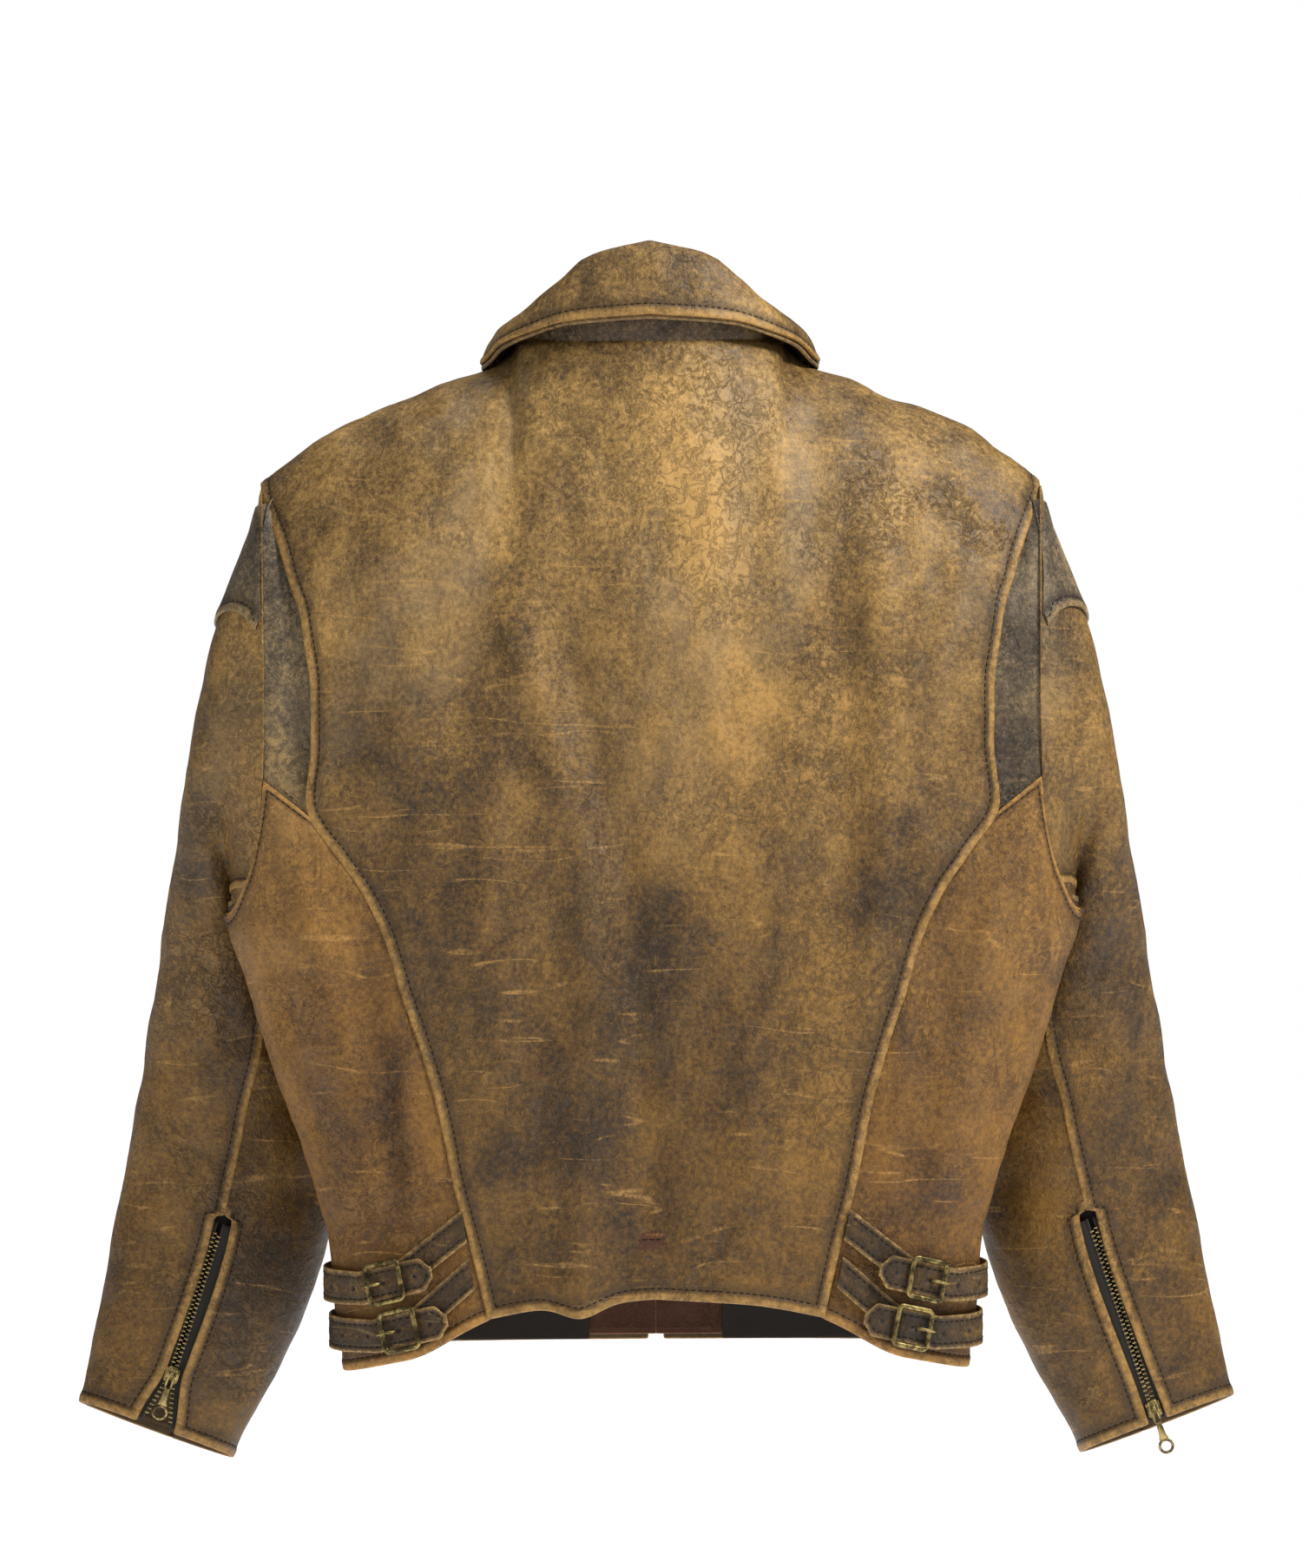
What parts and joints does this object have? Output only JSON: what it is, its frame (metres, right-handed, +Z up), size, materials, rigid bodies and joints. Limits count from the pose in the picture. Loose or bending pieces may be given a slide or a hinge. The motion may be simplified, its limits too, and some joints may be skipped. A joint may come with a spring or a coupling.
{
  "type": "leather riding jacket",
  "caption": "Hip-length distressed leather riding jacket with a turned-down collar, action-back gussets, zipped cuffs and two buckled waist straps on each side.",
  "frame": {"origin": "bearing point of the hanger loop inside the middle of the back neck", "axes": "+Z up as the jacket hangs, +Y out of the back, the wearer faces -Y, +X towards the wearer's left sleeve"},
  "size_m": [0.7342, 0.2126, 0.7713],
  "materials": {
    "brown_leather": "distressed brown cowhide, rubbed lighter on shoulders, folds and edges",
    "tan_leather": "distressed orange-tan cowhide with dark scratches",
    "dark_leather": "darker softer leather with fine grain",
    "strap_leather": "stitched strap leather with pale cut edges",
    "facing_leather": "reddish brown facing leather, satin",
    "lining_cloth": "black woven lining",
    "felt_pad": "grey needled felt",
    "loop_cord": "black cord",
    "zip_tape": "dark woven zip tape",
    "zip_brass": "antique brass",
    "buckle_brass": "dark antique brass, rubbed on the edges"
  },
  "bodies": {
    "jacket": {"back_panel": "brown_leather", "left_front_panel": "brown_leather", "right_front_panel": "brown_leather", "left_side_panel": "tan_leather", "right_side_panel": "tan_leather", "left_action_gusset": "dark_leather", "right_action_gusset": "dark_leather", "left_shoulder_cap": "dark_leather", "right_shoulder_cap": "dark_leather", "left_upper_sleeve": "brown_leather", "right_upper_sleeve": "brown_leather", "left_under_sleeve": "brown_leather", "right_under_sleeve": "brown_leather", "collar_stand": "dark_leather", "top_collar": "brown_leather", "under_collar": "brown_leather", "body_lining": "lining_cloth", "left_sleeve_lining": "lining_cloth", "right_sleeve_lining": "lining_cloth", "left_front_facing": "facing_leather", "right_front_facing": "facing_leather", "hem_facing": "facing_leather", "left_shoulder_pad": "felt_pad", "right_shoulder_pad": "felt_pad", "hanger_loop": "loop_cord", "front_zip_tapes": "zip_tape", "front_zip_teeth": "zip_brass", "left_cuff_zip_tapes": "zip_tape", "left_cuff_zip_teeth": "zip_brass", "right_cuff_zip_tapes": "zip_tape", "right_cuff_zip_teeth": "zip_brass", "left_upper_anchor": "strap_leather", "left_lower_anchor": "strap_leather", "right_upper_anchor": "strap_leather", "right_lower_anchor": "strap_leather", "left_upper_strap": "strap_leather", "left_lower_strap": "strap_leather", "right_upper_strap": "strap_leather", "right_lower_strap": "strap_leather"},
    "front_slider": {"front_zip_slider": "zip_brass"},
    "front_pull": {"front_zip_pull": "zip_brass"},
    "left_cuff_slider_body": {"left_cuff_slider": "zip_brass"},
    "left_cuff_pull_body": {"left_cuff_pull": "zip_brass"},
    "right_cuff_slider_body": {"right_cuff_slider": "zip_brass"},
    "right_cuff_pull_body": {"right_cuff_pull": "zip_brass"},
    "left_upper_buckle_body": {"left_upper_buckle": "buckle_brass"},
    "left_upper_prong_body": {"left_upper_prong": "buckle_brass"},
    "left_lower_buckle_body": {"left_lower_buckle": "buckle_brass"},
    "left_lower_prong_body": {"left_lower_prong": "buckle_brass"},
    "right_upper_buckle_body": {"right_upper_buckle": "buckle_brass"},
    "right_upper_prong_body": {"right_upper_prong": "buckle_brass"},
    "right_lower_buckle_body": {"right_lower_buckle": "buckle_brass"},
    "right_lower_prong_body": {"right_lower_prong": "buckle_brass"}
  },
  "joints": [
    {"name": "front_zip_slide", "type": "slide", "parent": "jacket", "child": "front_slider", "axis": [0, 0.0646, 0.9979], "range_m": [-0.485, 0]},
    {"name": "front_pull_swing", "type": "hinge", "parent": "front_slider", "child": "front_pull", "pos_m": [0, -0.1304, -0.11491], "axis": [-1, 0, 0], "range_deg": [0, 140]},
    {"name": "left_cuff_zip_slide", "type": "slide", "parent": "jacket", "child": "left_cuff_slider_body", "axis": [-0.3111, 0.1237, 0.9423], "range_m": [-0.027, 0.092]},
    {"name": "left_cuff_pull_swing", "type": "hinge", "parent": "left_cuff_slider_body", "child": "left_cuff_pull_body", "pos_m": [0.30822, -0.11071, -0.65122], "axis": [0.9501, 0.0175, 0.3114], "range_deg": [0, 140]},
    {"name": "right_cuff_zip_slide", "type": "slide", "parent": "jacket", "child": "right_cuff_slider_body", "axis": [0.3111, 0.1237, 0.9423], "range_m": [0, 0.119]},
    {"name": "right_cuff_pull_swing", "type": "hinge", "parent": "right_cuff_slider_body", "child": "right_cuff_pull_body", "pos_m": [-0.31662, -0.11405, -0.67666], "axis": [0.9501, -0.0175, -0.3114], "range_deg": [0, 140]},
    {"name": "left_upper_buckle_tilt", "type": "hinge", "parent": "jacket", "child": "left_upper_buckle_body", "pos_m": [0.16871, 0.00818, -0.59], "axis": [0.1942, -0.0743, 0.9781], "range_deg": [-5, 5]},
    {"name": "left_upper_prong_swing", "type": "hinge", "parent": "left_upper_buckle_body", "child": "left_upper_prong_body", "pos_m": [0.16871, 0.00818, -0.59], "axis": [0.1942, -0.0743, 0.9781], "range_deg": [0, 60]},
    {"name": "left_lower_buckle_tilt", "type": "hinge", "parent": "jacket", "child": "left_lower_buckle_body", "pos_m": [0.15956, 0.0105, -0.62], "axis": [0.1967, -0.0674, 0.9781], "range_deg": [-5, 5]},
    {"name": "left_lower_prong_swing", "type": "hinge", "parent": "left_lower_buckle_body", "child": "left_lower_prong_body", "pos_m": [0.15956, 0.0105, -0.62], "axis": [0.1967, -0.0674, 0.9781], "range_deg": [0, 60]},
    {"name": "right_upper_buckle_tilt", "type": "hinge", "parent": "jacket", "child": "right_upper_buckle_body", "pos_m": [-0.16871, 0.00818, -0.59], "axis": [0.1942, 0.0743, -0.9781], "range_deg": [-5, 5]},
    {"name": "right_upper_prong_swing", "type": "hinge", "parent": "right_upper_buckle_body", "child": "right_upper_prong_body", "pos_m": [-0.16871, 0.00818, -0.59], "axis": [0.1942, 0.0743, -0.9781], "range_deg": [0, 60]},
    {"name": "right_lower_buckle_tilt", "type": "hinge", "parent": "jacket", "child": "right_lower_buckle_body", "pos_m": [-0.15956, 0.0105, -0.62], "axis": [0.1967, 0.0674, -0.9781], "range_deg": [-5, 5]},
    {"name": "right_lower_prong_swing", "type": "hinge", "parent": "right_lower_buckle_body", "child": "right_lower_prong_body", "pos_m": [-0.15956, 0.0105, -0.62], "axis": [0.1967, 0.0674, -0.9781], "range_deg": [0, 60]}
  ]
}
